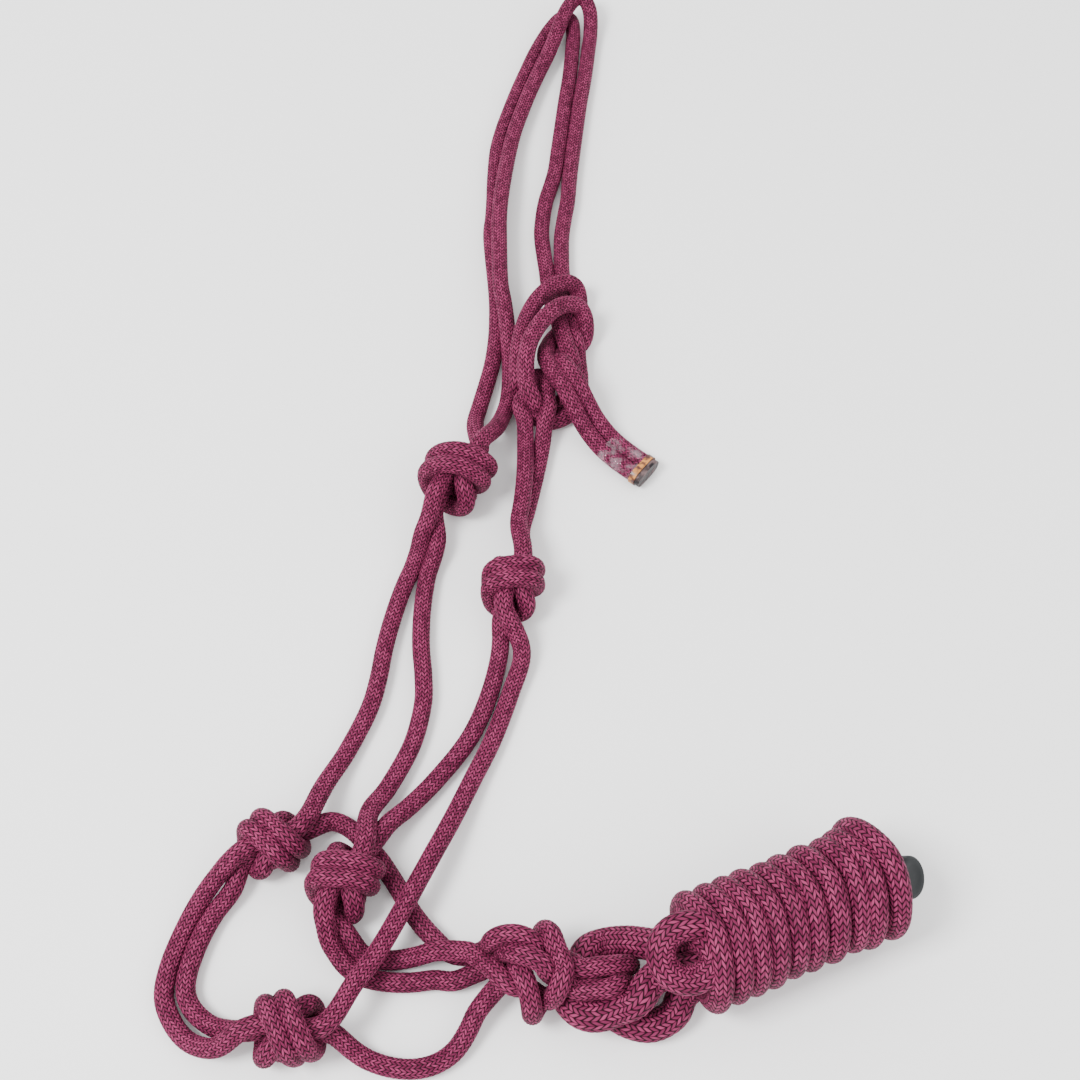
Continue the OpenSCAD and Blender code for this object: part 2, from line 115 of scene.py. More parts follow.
CROWN_LEG_OUTER = [
    (-0.03, 0.052, 0.009), (-0.031, 0.062, 0.005), (-0.0288, 0.073, 0.004), (-0.0257, 0.086, 0.004),
    (-0.0233, 0.098, 0.004), (-0.0218, 0.112, 0.004), (-0.0215, 0.128, 0.004), (-0.0222, 0.143, 0.004),
]
CROWN_LEG_INNER = [
    (-0.0215, 0.052, 0.014), (-0.0187, 0.062, 0.007), (-0.0158, 0.073, 0.0045), (-0.0147, 0.085, 0.004),
    (-0.0147, 0.098, 0.0045), (-0.0158, 0.112, 0.009), (-0.0176, 0.128, 0.011), (-0.0198, 0.143, 0.0117),
]
CROWN_OUTER = [
    (-0.0252, 0.176, 0.004), (-0.0245, 0.19, 0.004), (-0.0241, 0.202, 0.004), (-0.0239, 0.216, 0.004),
    (-0.0229, 0.235, 0.004), (-0.0204, 0.249, 0.004), (-0.017, 0.262, 0.004), (-0.0134, 0.274, 0.004),
    (-0.0082, 0.291, 0.004), (-0.0025, 0.308, 0.004), (0.005, 0.325, 0.004), (0.012, 0.335, 0.004),
    (0.0175, 0.333, 0.004), (0.0185, 0.322, 0.004), (0.0176, 0.307, 0.004), (0.0161, 0.29, 0.004),
    (0.0139, 0.273, 0.004), (0.0126, 0.262, 0.004), (0.011, 0.248, 0.004), (0.0095, 0.235, 0.004),
    (0.008, 0.222, 0.004), (0.0058, 0.212, 0.004), (0.003, 0.201, 0.004), (0.0013, 0.188, 0.004),
    (0.001, 0.175, 0.004),
]
CROWN_INNER = [
    (-0.0208, 0.176, 0.0108), (-0.0206, 0.19, 0.011), (-0.0197, 0.202, 0.0106), (-0.018, 0.218, 0.0093),
    (-0.0158, 0.235, 0.0075), (-0.0132, 0.249, 0.007), (-0.0098, 0.262, 0.0068), (-0.006, 0.276, 0.0065),
    (-0.001, 0.29, 0.0065), (0.0045, 0.304, 0.0075), (0.0095, 0.318, 0.01), (0.014, 0.331, 0.0123),
    (0.019, 0.34, 0.0125), (0.024, 0.3415, 0.0125), (0.0278, 0.334, 0.01), (0.028, 0.322, 0.005),
    (0.0266, 0.309, 0.004), (0.0246, 0.291, 0.004), (0.022, 0.273, 0.004), (0.0206, 0.262, 0.004),
    (0.019, 0.248, 0.004), (0.0175, 0.235, 0.004), (0.0161, 0.222, 0.004), (0.0153, 0.213, 0.004),
    (0.0143, 0.201, 0.004), (0.0124, 0.188, 0.004), (0.011, 0.175, 0.004),
]
TIE_LEFT = [
    (0.004, 0.15, 0.004), (0.0055, 0.138, 0.005), (0.008, 0.124, 0.009), (0.0108, 0.11, 0.013),
    (0.0136, 0.097, 0.014), (0.015, 0.085, 0.012), (0.0135, 0.076, 0.007), (0.008, 0.072, 0.004),
    (0, 0.071, 0.004), (-0.0065, 0.073, 0.01), (-0.0095, 0.08, 0.017), (-0.0102, 0.091, 0.02),
    (-0.009, 0.103, 0.0195), (-0.006, 0.115, 0.019), (-0.001, 0.126, 0.0185), (0.006, 0.1345, 0.0175),
    (0.0135, 0.139, 0.015), (0.0185, 0.139, 0.01), (0.0195, 0.133, 0.005), (0.0155, 0.125, 0.004),
    (0.01, 0.116, 0.005), (0.005, 0.107, 0.008), (0.0035, 0.097, 0.013), (0.0055, 0.087, 0.018),
    (0.0105, 0.0785, 0.0195),
]
TIE_RIGHT = [
    (0.0112, 0.15, 0.004), (0.0128, 0.138, 0.004), (0.0145, 0.124, 0.005), (0.0165, 0.11, 0.0055),
    (0.0186, 0.097, 0.0055), (0.0195, 0.085, 0.005), (0.0175, 0.0715, 0.004), (0.0095, 0.0645, 0.004),
    (0.0015, 0.0635, 0.004), (-0.0045, 0.067, 0.009), (-0.007, 0.074, 0.017), (-0.0072, 0.084, 0.0235),
    (-0.005, 0.095, 0.025), (-0.0005, 0.105, 0.025), (0.0055, 0.114, 0.024), (0.012, 0.12, 0.0215),
    (0.0188, 0.1225, 0.017), (0.0225, 0.118, 0.0105), (0.0205, 0.11, 0.0045), (0.0145, 0.105, 0.004),
    (0.009, 0.099, 0.008), (0.008, 0.091, 0.015), (0.012, 0.0835, 0.0195),
]
TIE_LOOP = [
    (-0.0098, 0.001, 0.013), (-0.0085, 0.012, 0.012), (-0.0073, 0.025, 0.011), (-0.0069, 0.036, 0.0096),
    (-0.0069, 0.047, 0.0075), (-0.007, 0.058, 0.009), (-0.0072, 0.07, 0.012), (-0.006, 0.079, 0.012),
    (-0.003, 0.0845, 0.011), (0.0008, 0.0845, 0.011), (0.0032, 0.078, 0.012), (0.0033, 0.069, 0.012),
    (0.0022, 0.058, 0.0085), (0.0008, 0.048, 0.0045), (-0.0013, 0.036, 0.004), (-0.0037, 0.024, 0.004),
    (-0.0063, 0.012, 0.004), (-0.0085, 0.001, 0.0055),
]
LEAD_LOOP = [
    (0.051, -0.197, 0.021), (0.045, -0.1955, 0.0185), (0.039, -0.1935, 0.015), (0.032, -0.192, 0.011),
    (0.025, -0.1925, 0.009), (0.019, -0.196, 0.011), (0.0155, -0.203, 0.0136), (0.0115, -0.2095, 0.013),
    (0.011, -0.2155, 0.0127), (0.016, -0.2205, 0.014), (0.024, -0.222, 0.016), (0.032, -0.219, 0.018),
    (0.041, -0.2125, 0.0205), (0.05, -0.206, 0.022),
]
LEAD_UNDER = [
    (0.022, -0.2115, 0.0065), (0.029, -0.219, 0.0065), (0.037, -0.2235, 0.0065), (0.045, -0.224, 0.0065),
    (0.053, -0.2195, 0.0075), (0.057, -0.212, 0.01),
]
TAIL_MIDDLE = [
    (0.0155, 0.072, 0.019), (0.019, 0.066, 0.0155), (0.024, 0.0585, 0.01), (0.0305, 0.051, 0.006),
    (0.037, 0.0448, 0.0046),
]
CHIN_KNOT_ROPES = [
    [
        (-0.021, 0.005, -0.007), (-0.014, 0.001, 0), (-0.006, -0.003, 0.006), (0, -0.006, 0.003),
        (0.005, -0.011, 0.001), (0.009, -0.0075, 0.008), (0.013, -0.002, 0.009), (0.013, 0.0046, 0.0085),
        (0.009, 0.0105, 0.007), (0.0065, 0.015, 0.004), (0.005, 0.017, -0.002), (0.003, 0.012, -0.009),
        (0.006, 0.004, -0.012), (0.014, -0.002, -0.013),
    ],
    [
        (-0.017, 0.006, -0.009), (-0.017, 0.011, -0.002), (-0.013, 0.015, 0.003), (-0.007, 0.016, 0.005),
        (0, 0.0135, 0.0055), (0.006, 0.01, 0.001), (0.011, 0.006, 0), (0.017, 0.0021, 0.0057),
    ],
    [
        (-0.014, 0.002, -0.009), (-0.011, 0.008, -0.001), (-0.007, 0.0095, 0.006), (-0.002, 0.009, 0.01),
        (0.003, 0.007, 0.011), (0.007, 0.003, 0.009), (0.009, -0.001, 0.004), (0.012, -0.004, 0.002),
        (0.017, -0.0055, 0.007),
    ],
    [
        (-0.013, -0.006, -0.004), (-0.008, 0, 0), (-0.005, 0.003, 0.007), (-0.002, -0.002, 0.011),
        (-0.0005, -0.009, 0.011), (0, -0.015, 0.007), (0, -0.017, 0), (0.002, -0.014, -0.006),
        (0.006, -0.011, -0.008), (0.014, -0.011, -0.0085),
    ],
]

# ---- Knots in the doubled rope: centre on the table, heading from entry to exit, size ----
NOSE_FAR = ((-0.110, -0.151), 37, 0.75)
NOSE_NEAR = ((-0.098, -0.2275), 14, 0.88)
THROAT = ((-0.079, -0.167), -108, 0.88)
CHEEK_FAR = ((-0.038, 0.026), -112, 1.0)
CHEEK_NEAR = ((-0.012, -0.030), -96, 0.82)
KNOT_TURN = 90

# One strand's way through a doubled overhand knot, as (along, out, degrees round), in rope diameters
OVERHAND = [
    (-2.2, 0.75, 0), (-1.4, 0.68, 0), (-0.4, 0.65, 0), (0.4, 0.7, 0), (0.85, 0.9, 5), (1.0, 1.3, 30),
    (0.95, 1.6, 65), (0.75, 1.7, 120), (0.4, 1.7, 195), (0, 1.7, 270), (-0.4, 1.7, 345),
    (-0.75, 1.7, 420), (-0.95, 1.6, 475), (-1.0, 1.3, 510), (-0.85, 0.9, 535),
    (-0.4, 0.7, 540), (0.4, 0.65, 540), (1.4, 0.68, 540), (2.2, 0.75, 540),
]
WRAP_SHIFT = 0.5
CORE_TURN = 45
CORE_OUT = 0.75
WRAP_OUT = 1.45
CORE_HEIGHT = 2.2

# The big chin knot leans back towards the crown
CHIN_KNOT = np.array([-0.003, -0.206, 0.018])
LEAN = math.radians(30)

# ---- The two tails and the wound lead ----
TAIL_TIP = np.array([0.051, 0.033])
TAIL_ANGLE = -39
TAIL_SIDE = ROPE_D / 2 + 0.00005
SLEEVE_WALL = 0.0006
TAIL_STRAIGHT = 0.009  # from the tip back to the last bend before it
TAIL_HEIGHT = ROPE_D / 2 + SLEEVE_WALL
END_LEN = 0.0025
HANK_START = np.array([0.056, -0.203])
HANK_ANGLE = 22.5
EYE_CENTRE = np.array([0.0565, -0.205, 0.040])
EYE_R = 0.0105
CAP_PLACE = np.array([0.1371, -0.1695, 0.023])
CAP_TILT = math.radians(45)
CAP_TURN = math.radians(-19)
CAP_LEN = 0.015
CAP_D = 0.017
CAP_ROUND = 0.0016  # rounding of the cap's far edge


# ---- Routes through the knots ----
def flat(angle):
    a = math.radians(angle)
    return np.array([math.cos(a), math.sin(a), 0.0])


def through(knot, strand):
    """One of the two strands through an overhand knot, from its way in to its way out."""
    (x, y), heading, size = knot
    d = ROPE_D * size
    points = []
    for s, out, turn in OVERHAND:
        wrapped = min(1.0, max(0.0, (out - CORE_OUT) / (WRAP_OUT - CORE_OUT)))
        a = math.radians(KNOT_TURN + turn - strand * CORE_TURN * (1 - wrapped))
        along = (s + strand * WRAP_SHIFT * wrapped) * d * flat(heading)
        across = out * d * (math.cos(a) * np.array([0, 0, 1]) + math.sin(a) * flat(heading + 90))
        points.append(np.array([x, y, CORE_HEIGHT * d]) + along + across)
    return points


def on_face(p):
    """A place on the big chin knot's face: right, up the face, out of it."""
    up = p[1] * math.cos(LEAN) - p[2] * math.sin(LEAN)
    out = p[1] * math.sin(LEAN) + p[2] * math.cos(LEAN)
    return CHIN_KNOT + np.array([p[0], up, out])


def chin_route(i):
    return [on_face(p) for p in CHIN_KNOT_ROPES[i]]


def tail_place(back, side):
    across = side * TAIL_SIDE * flat(TAIL_ANGLE + 90)
    return np.array([TAIL_TIP[0], TAIL_TIP[1], TAIL_HEIGHT]) - back * flat(TAIL_ANGLE) + across


def tail_route(side):
    near = [np.array(p) + side * TAIL_SIDE * flat(TAIL_ANGLE + 90) for p in TAIL_MIDDLE]
    return near + [tail_place(TAIL_STRAIGHT, side), tail_place(END_LEN, side)]


def reverse(points):
    return list(points)[::-1]


# ---- The whole halter as one rope: named stretches in the order the rope runs ----
def rope_order():
    """(name, route) of each stretch, from one crown tail round the whole halter to the other."""
    return [
        ("tail_left", reverse(tail_route(-1))),
        ("tie_left", reverse(TIE_LEFT[1:])),
        ("crown_outer", [TIE_LEFT[0]] + reverse(CROWN_OUTER)),
        ("crown_outer", reverse(CROWN_LEG_OUTER)),
        ("cheek_knot_far", through(CHEEK_FAR, -1)),
        ("cheek_rope_far", CHEEK_ROPE_FAR),
        ("nose_knot_far", reverse(through(NOSE_FAR, -1))),
        ("noseband_inner", NOSEBAND_INNER),
        ("nose_knot_near", through(NOSE_NEAR, -1)),
        ("cheek_rope_near", reverse(CHEEK_ROPE_NEAR)),
        ("cheek_knot_near", reverse(through(CHEEK_NEAR, -1))),
        ("tie_loop", reverse(TIE_LOOP)),
        ("cheek_knot_near", through(CHEEK_NEAR, 1)),
        ("throat_rope_near", THROAT_ROPE_NEAR),
        ("throat_knot", through(THROAT, -1)),
        ("jaw_rope_lower", JAW_ROPE_LOWER),
        ("chin_knot", chin_route(2)),
        ("heel_loop_near", HEEL_LOOP_NEAR),
        ("chin_knot", reverse(chin_route(3))),
        ("chin_rope_near", reverse(CHIN_ROPE_NEAR)),
        ("nose_knot_near", reverse(through(NOSE_NEAR, 1))),
        ("noseband_outer", reverse(NOSEBAND_OUTER)),
        ("nose_knot_far", through(NOSE_FAR, 1)),
        ("chin_rope_far", CHIN_ROPE_FAR),
        ("chin_knot", chin_route(1)),
        ("heel_loop_far", HEEL_LOOP_FAR),
        ("chin_knot", reverse(chin_route(0))),
        ("jaw_rope_upper", reverse(JAW_ROPE_UPPER)),
        ("throat_knot", reverse(through(THROAT, 1))),
        ("throat_rope_far", reverse(THROAT_ROPE_FAR)),
        ("cheek_knot_far", reverse(through(CHEEK_FAR, 1))),
        ("crown_inner", CROWN_LEG_INNER),
        ("crown_inner", CROWN_INNER + [TIE_RIGHT[0]]),
        ("tie_right", TIE_RIGHT[1:]),
        ("tail_right", tail_route(1)),
    ]


FINE_STEPS = 24  # points on the smooth curve for each given one


def smooth(points, spacing):
    """Even points along a smooth curve through the given ones, and how far along each given one lies."""
    p = np.array([np.asarray(q, float) for q in points])
    q = np.vstack([2 * p[0] - p[1], p, 2 * p[-1] - p[-2]])
    t = np.linspace(0, 1, FINE_STEPS, endpoint=False)[:, None]
    fine = []
    for i in range(len(p) - 1):
        a, b, c, d = q[i:i + 4]
        fine.append(0.5 * (2 * b + (c - a) * t + (2 * a - 5 * b + 4 * c - d) * t ** 2
                           + (3 * b - a - 3 * c + d) * t ** 3))
    fine = np.vstack(fine + [p[-1:]])
    far = np.concatenate([[0], np.cumsum(np.linalg.norm(np.diff(fine, axis=0), axis=1))])
    count = max(2, int(round(far[-1] / spacing)) + 1)
    want = np.linspace(0, far[-1], count)
    even = np.column_stack([np.interp(want, far, fine[:, k]) for k in range(3)])
    return even, far[::FINE_STEPS]


def lay_out(stretches, spacing):
    """One even line through all the stretches, and where along it each stretch begins and ends."""
    points, marks = [], []
    for name, route in stretches:
        marks.append([name, len(points), len(points) + len(route)])
        points += [np.asarray(q, float) for q in route]
    kept, where = [points[0]], [0]
    for q in points[1:]:
        if np.linalg.norm(q - kept[-1]) > 1e-5:
            kept.append(q)
        where.append(len(kept) - 1)
    line, far = smooth(kept, spacing)
    total = far[-1]
    spans = []
    for name, a, b in marks:
        start = far[where[a]] if a else 0.0
        if a:
            start = 0.5 * (far[where[a - 1]] + far[where[a]])
        end = total
        if b < len(points):
            end = 0.5 * (far[where[b - 1]] + far[where[b]])
        spans.append((name, start / total, end / total))
    return line, spans


# ---- Pulling the ropes tight against each other ----
KNOTS = ("knot", "tie", "heel")
TIGHT = 0.86      # of its diameter that the rope keeps where it is pressed in a knot
KNOT_PULL = 0.93  # of its length that the rope keeps in a knot as it is pulled tight
SNUG = 0.97       # of its diameter that it keeps where it only lies against another stretch
PULL_TIME = 0.6   # of the rounds over which the knots are pulled tight
BEND_STEP = 4     # points between the two that may not come close as the rope bends
BEND_KEEP = 0.93  # of the rope between those two that has to stay between them
BEND_PUSH = 0.12  # of a lack of room between them that one round makes good at each
TOUCH_PUSH = 0.22  # of a lack of room between two ropes that one round makes good at each
PAIR_ROUNDS = 12  # rounds between two searches for close pairs
ALONG = 2.2       # rope diameters along the rope within which two points are neighbours
REACH = 1.25 * LEAD_D
BLOCK = 400       # points searched at once


def relax(lines, holds, radii, shrinks, rounds):
    """Moves each line's points apart until the ropes only touch, and keeps them near where they were laid.
    holds is how firmly each point keeps its place, from 0 to 1, radii the rope's radius there, and shrinks
    how much of its length the rope keeps there as the knots are pulled tight."""
    start = np.vstack(lines)
    p = start.copy()
    hold = np.concatenate(holds)[:, None]
    r = np.concatenate(radii)
    sizes = [len(line) for line in lines]
    first = np.cumsum([0] + sizes)
    rope = np.repeat(np.arange(len(lines)), sizes)
    order = np.arange(len(p))
    links = np.concatenate([np.arange(a, b - 1) for a, b in zip(first[:-1], first[1:])])
    laid = np.linalg.norm(p[links + 1] - p[links], axis=1)
    shrink = np.concatenate(shrinks)[links]
    bends = np.concatenate([np.arange(a, b - BEND_STEP) for a, b in zip(first[:-1], first[1:])])
    apart = int(round(ALONG * ROPE_D / laid.mean()))
    stiff = BEND_STEP * laid.mean() * BEND_KEEP
    spread = np.concatenate(shrinks)[bends]
    pairs = None
    for step in range(rounds):
        pulled = min(1.0, step / (PULL_TIME * rounds))
        rest = laid * (1 - pulled * (1 - shrink))
        p += hold * (start - p)
        for odd in (0, 1):
            i = links[odd::2]
            gap = p[i + 1] - p[i]
            size = np.linalg.norm(gap, axis=1)
            move = (0.5 * (size - rest[odd::2]) / np.maximum(size, 1e-9))[:, None] * gap
            p[i] += move
            p[i + 1] -= move
        gap = p[bends + BEND_STEP] - p[bends]
        size = np.linalg.norm(gap, axis=1)
        lack = np.minimum(0, size - stiff * (1 - pulled * (1 - spread)))
        move = (BEND_PUSH * lack / np.maximum(size, 1e-9))[:, None] * gap
        np.add.at(p, bends, move)
        np.add.at(p, bends + BEND_STEP, -move)
        if step % PAIR_ROUNDS == 0:
            pairs = near_pairs(p, rope, order, apart)
        a, b = pairs
        gap = p[b] - p[a]
        size = np.linalg.norm(gap, axis=1)
        lack = np.minimum(0, size - (r[a] + r[b]))
        move = (TOUCH_PUSH * lack / np.maximum(size, 1e-9))[:, None] * gap
        np.add.at(p, a, move)
        np.add.at(p, b, -move)
        p[:, 2] = np.maximum(p[:, 2], np.minimum(r, start[:, 2]))
    return [p[a:b] for a, b in zip(first[:-1], first[1:])]


def near_pairs(p, rope, order, apart):
    """Pairs of points that are close together but not neighbours along the same rope."""
    found_a, found_b = [], []
    for i in range(0, len(p), BLOCK):
        block = slice(i, min(i + BLOCK, len(p)))
        d2 = ((p[block, None, :] - p[None, :, :]) ** 2).sum(2)
        a, b = np.nonzero(d2 < REACH * REACH)
        a = a + i
        keep = (b > a) & ((rope[a] != rope[b]) | (order[b] - order[a] > apart))
        found_a.append(a[keep])
        found_b.append(b[keep])
    return np.concatenate(found_a), np.concatenate(found_b)


# ---- A braided tube ----
COLUMNS = 20       # rows of stitches round the rope
HALTER_STITCH = 0.0020
LEAD_STITCH = 0.0023
LEAD_RELIEF = 0.0004
SLANT = 0.9        # stitches along the rope that a stitch rises or falls across its row
RIM_LEVEL = 0.75   # height of the braid, 0 to 1, that lies at the rope's radius


def even_line(line, spacing):
    far = np.concatenate([[0], np.cumsum(np.linalg.norm(np.diff(line, axis=0), axis=1))])
    count = int(round(far[-1] / spacing)) + 1
    want = np.linspace(0, far[-1], count)
    soft = np.column_stack([np.interp(want, far, line[:, k]) for k in range(3)])
    for _ in range(10):
        soft[1:-1] = 0.25 * soft[:-2] + 0.5 * soft[1:-1] + 0.25 * soft[2:]
    return soft, want


def carried_frames(line):
    """Two directions across the line at each point, carried along it without twisting."""
    heading = np.gradient(line, axis=0)
    heading /= np.linalg.norm(heading, axis=1)[:, None]
    x = np.empty_like(line)
    first = np.cross(heading[0], [0.0, 0.0, 1.0])
    if np.linalg.norm(first) < 0.1:
        first = np.cross(heading[0], [0.0, 1.0, 0.0])
    x[0] = first / np.linalg.norm(first)
    for i in range(1, len(line)):
        v = x[i - 1] - heading[i] * np.dot(x[i - 1], heading[i])
        x[i] = v / np.linalg.norm(v)
    return x, np.cross(heading, x)


def stitch_height(u, v):
    """Height of the braid, 0 to 1, at u stitches round and v along: chevrons of slanting stitches."""
    column = np.floor(u)
    across = u - column
    slant = np.where(column % 2 == 0, 1.0, -1.0)
    w = v + slant * (across - 0.5) * SLANT
    along = np.abs((w % 1.0) - 0.5) * 2
    body = np.sqrt(np.maximum(0, 1 - along ** 2.2))
    crown = np.sqrt(np.maximum(0, 1 - (np.abs(across - 0.5) * 2) ** 3.0))
    return body * (0.35 + 0.65 * crown)


def braided_tube(line, radius, stitch, spans=None, around=80, spacing=0.00040, relief=0.00036, press=None):
    """A rope along a line, as its rings of points and their stitch counts, cut into one list for each name in
    spans, or one list in all, named whole. radius is a number or one for each point of the line.
    press flattens the section by a vector at each point."""
    spacing = spacing * 1
    around = around
    soft, far = even_line(line, spacing)
    old = np.linspace(0, 1, len(line))
    new = np.linspace(0, 1, len(soft))
    r = np.interp(new, old, np.broadcast_to(radius, (len(line),)))
    x, y = carried_frames(soft)
    turn = np.arange(around) * 2 * math.pi / around
    u = np.arange(around) * COLUMNS / around
    v = far / stitch
    height = stitch_height(u[None, :], v[:, None])
    rim = r[:, None] + relief * (height - RIM_LEVEL)
    ring = soft[:, None, :] + rim[..., None] * (
        np.cos(turn)[None, :, None] * x[:, None, :] + np.sin(turn)[None, :, None] * y[:, None, :])
    if press is not None:
        flat_by = np.column_stack([np.interp(new, old, press[:, k]) for k in range(3)])
        amount = np.linalg.norm(flat_by, axis=1)
        way = flat_by / np.maximum(amount, 1e-9)[:, None]
        off = ring - soft[:, None, :]
        ring -= (amount[:, None] * (off * way[:, None, :]).sum(2))[..., None] * way[:, None, :]
    if spans is None:
        spans = [("whole", 0.0, 1.0)]
    pieces = {}
    for span_name, a, b in spans:
        i = int(round(a * (len(soft) - 1)))
        j = int(round(b * (len(soft) - 1)))
        pieces.setdefault(span_name, []).append((ring[i:j + 1], v[i:j + 1]))
    return pieces


def build_mesh(name, parts):
    """One object from one or more stretches of rings, with stitch counts as its UV."""
    verts, loops, uvs = [], [], []
    base = 0
    for ring, v in parts:
        rows, cols = ring.shape[:2]
        verts.append(ring.reshape(-1, 3))
        i = np.arange(rows - 1)[:, None]
        k = np.arange(cols)[None, :]
        k1 = (k + 1) % cols
        quad = np.stack([i * cols + k, i * cols + k1, (i + 1) * cols + k1, (i + 1) * cols + k], axis=-1)
        loops.append((quad + base).reshape(-1, 4))
        u0 = k * COLUMNS / cols
        u1 = (k + 1) * COLUMNS / cols
        v0 = v[:-1, None]
        v1 = v[1:, None]
        uv = np.stack([np.stack(np.broadcast_arrays(a, b), axis=-1)
                       for a, b in ((u0, v0), (u1, v0), (u1, v1), (u0, v1))], axis=2)
        uvs.append(uv.reshape(-1, 4, 2))
        base += rows * cols
    verts = np.concatenate(verts) - MIDDLE
    quads = np.concatenate(loops)
    uv = np.concatenate(uvs)
    caps, cap_uv = [], []
    base = 0
    for ring, v in parts:
        rows, cols = ring.shape[:2]
        caps.append((np.arange(cols)[::-1] + base, v[0]))
        caps.append((np.arange(cols) + base + (rows - 1) * cols, v[-1]))
        base += rows * cols
    mesh = bpy.data.meshes.new(name)
    mesh.vertices.add(len(verts))
    mesh.vertices.foreach_set("co", verts.astype(np.float32).ravel())
    cols = parts[0][0].shape[1]
    corner = np.concatenate([quads.ravel()] + [c for c, _ in caps])
    starts = np.concatenate([np.arange(len(quads)) * 4, len(quads) * 4 + np.arange(len(caps)) * cols])
    mesh.loops.add(len(corner))
    mesh.loops.foreach_set("vertex_index", corner.astype(np.int32))
    mesh.polygons.add(len(starts))
    mesh.polygons.foreach_set("loop_start", starts.astype(np.int32))
    mesh.update(calc_edges=True)
    layer = mesh.uv_layers.new(name="braid")
    flat_uv = np.concatenate([uv.reshape(-1, 2)] + [np.column_stack([np.arange(cols) * COLUMNS / cols,
                                                                     np.full(cols, at)]) for _, at in caps])
    layer.data.foreach_set("uv", flat_uv.astype(np.float32).ravel())
    mesh.polygons.foreach_set("use_smooth", np.ones(len(starts), bool))
    mesh.validate()
    piece = bpy.data.objects.new(name, mesh)
    bpy.context.scene.collection.objects.link(piece)
    return piece


# ---- Materials ----
class Nodes:
    """A short way to write a material's nodes."""

    def __init__(self, name):
        self.material = bpy.data.materials.new(name)
        self.material.use_nodes = True
        self.tree = self.material.node_tree
        self.shader = self.tree.nodes["Principled BSDF"]

    def add(self, kind, **settings):
        node = self.tree.nodes.new(kind)
        for key, value in settings.items():
            setattr(node, key, value)
        return node

    def plug(self, value, socket):
        if hasattr(value, "is_output"):
            self.tree.links.new(value, socket)
        else:
            socket.default_value = value

    def math(self, operation, a, b=0.0, c=0.0):
        node = self.add("ShaderNodeMath", operation=operation)
        for value, socket in zip((a, b, c), node.inputs):
            self.plug(value, socket)
        return node.outputs[0]

    def mix(self, factor, a, b):
        node = self.add("ShaderNodeMix", data_type="RGBA")
        self.plug(factor, node.inputs[0])
        self.plug(a, node.inputs[6])
        self.plug(b, node.inputs[7])
        return node.outputs[2]

    def noise(self, scale, detail=3.0, where=None):
        node = self.add("ShaderNodeTexNoise")
        node.inputs["Scale"].default_value = scale
        node.inputs["Detail"].default_value = detail
        if where is None:
            where = self.add("ShaderNodeTexCoord").outputs["Object"]
        self.plug(where, node.inputs["Vector"])
        return node.outputs[0]

    def spread(self, value, low, high):
        """value, with low to high stretched to 0 to 1."""
        node = self.add("ShaderNodeMapRange", interpolation_type="SMOOTHSTEP")
        self.plug(value, node.inputs["Value"])
        node.inputs["From Min"].default_value = low
        node.inputs["From Max"].default_value = high
        return node.outputs[0]

    def set(self, **values):
        for key, value in values.items():
            self.plug(value, self.shader.inputs[key])


def braid_material(name, gap_shade_colour, thread_colour, highlight_colour):
    """Slanting stitches with painted shade in the gaps between them and a painted highlight on stitches picked
    at random, each stitch a little different, with fine fibres along it.
    """
    n = Nodes(name)
    uv = n.add("ShaderNodeUVMap", uv_map="braid")
    split = n.add("ShaderNodeSeparateXYZ")
    n.plug(uv.outputs[0], split.inputs[0])
    u, v = split.outputs[0], split.outputs[1]
    column = n.math("FLOOR", u)
    across = n.math("SUBTRACT", u, column)
    odd = n.math("MODULO", column, 2.0)
    slant = n.math("MULTIPLY_ADD", odd, -2.0, 1.0)
    centred = n.math("SUBTRACT", across, 0.5)
    w = n.math("ADD", v, n.math("MULTIPLY", n.math("MULTIPLY", slant, centred), SLANT))
    row = n.math("FLOOR", w)
    along = n.math("MULTIPLY", n.math("ABSOLUTE", n.math("SUBTRACT", n.math("FRACT", w), 0.5)), 2.0)
    side = n.math("MULTIPLY", n.math("ABSOLUTE", centred), 2.0)
    body = n.math("SUBTRACT", 1.0, n.math("POWER", along, 2.4))
    crown = n.math("SUBTRACT", 1.0, n.math("POWER", side, 5.0))
    lift = n.math("MULTIPLY", body, n.math("MULTIPLY_ADD", crown, 0.75, 0.25))
    cell = n.add("ShaderNodeCombineXYZ")
    n.plug(column, cell.inputs[0])
    n.plug(row, cell.inputs[1])
    chance = n.add("ShaderNodeTexWhiteNoise", noise_dimensions="3D")
    n.plug(cell.outputs[0], chance.inputs["Vector"])
    fibre_place = n.add("ShaderNodeCombineXYZ")
    n.plug(n.math("MULTIPLY", w, 9.0), fibre_place.inputs[0])
    n.plug(n.math("MULTIPLY", u, 0.8), fibre_place.inputs[1])
    fibre = n.noise(1.0, 2.0, fibre_place.outputs[0])
    patch = n.noise(55.0)
    # The pale colour is a painted highlight, the lit pink of stitch tops. It is mixed into the stitches at
    # random, so they also differ at random in tone.
    thread = n.mix(n.math("MULTIPLY_ADD", chance.outputs["Value"], 0.75, n.math("MULTIPLY", patch, 0.3)),
                   thread_colour, highlight_colour)
    shade = n.math("MULTIPLY_ADD", fibre, 0.5, 0.2)
    thread = n.mix(n.math("MULTIPLY", shade, 0.45), thread, gap_shade_colour)
    # Painted shade: the colour falls to the dark gap colour where the braid sinks, between the stitches and at
    # their ends.
    colour = n.mix(n.spread(lift, 0.24, 0.92), gap_shade_colour, thread)
    bump = n.add("ShaderNodeBump")
    bump.inputs["Strength"].default_value = 0.35
    bump.inputs["Distance"].default_value = 0.0002
    n.plug(n.math("MULTIPLY_ADD", fibre, 0.5, lift), bump.inputs["Height"])
    n.set(**{"Base Color": colour, "Normal": bump.outputs[0],
             "Roughness": n.math("MULTIPLY_ADD", patch, 0.25, 0.5),
             "Sheen Weight": 0.02, "Sheen Roughness": 0.4, "Specular IOR Level": 0.08})
    return n.material


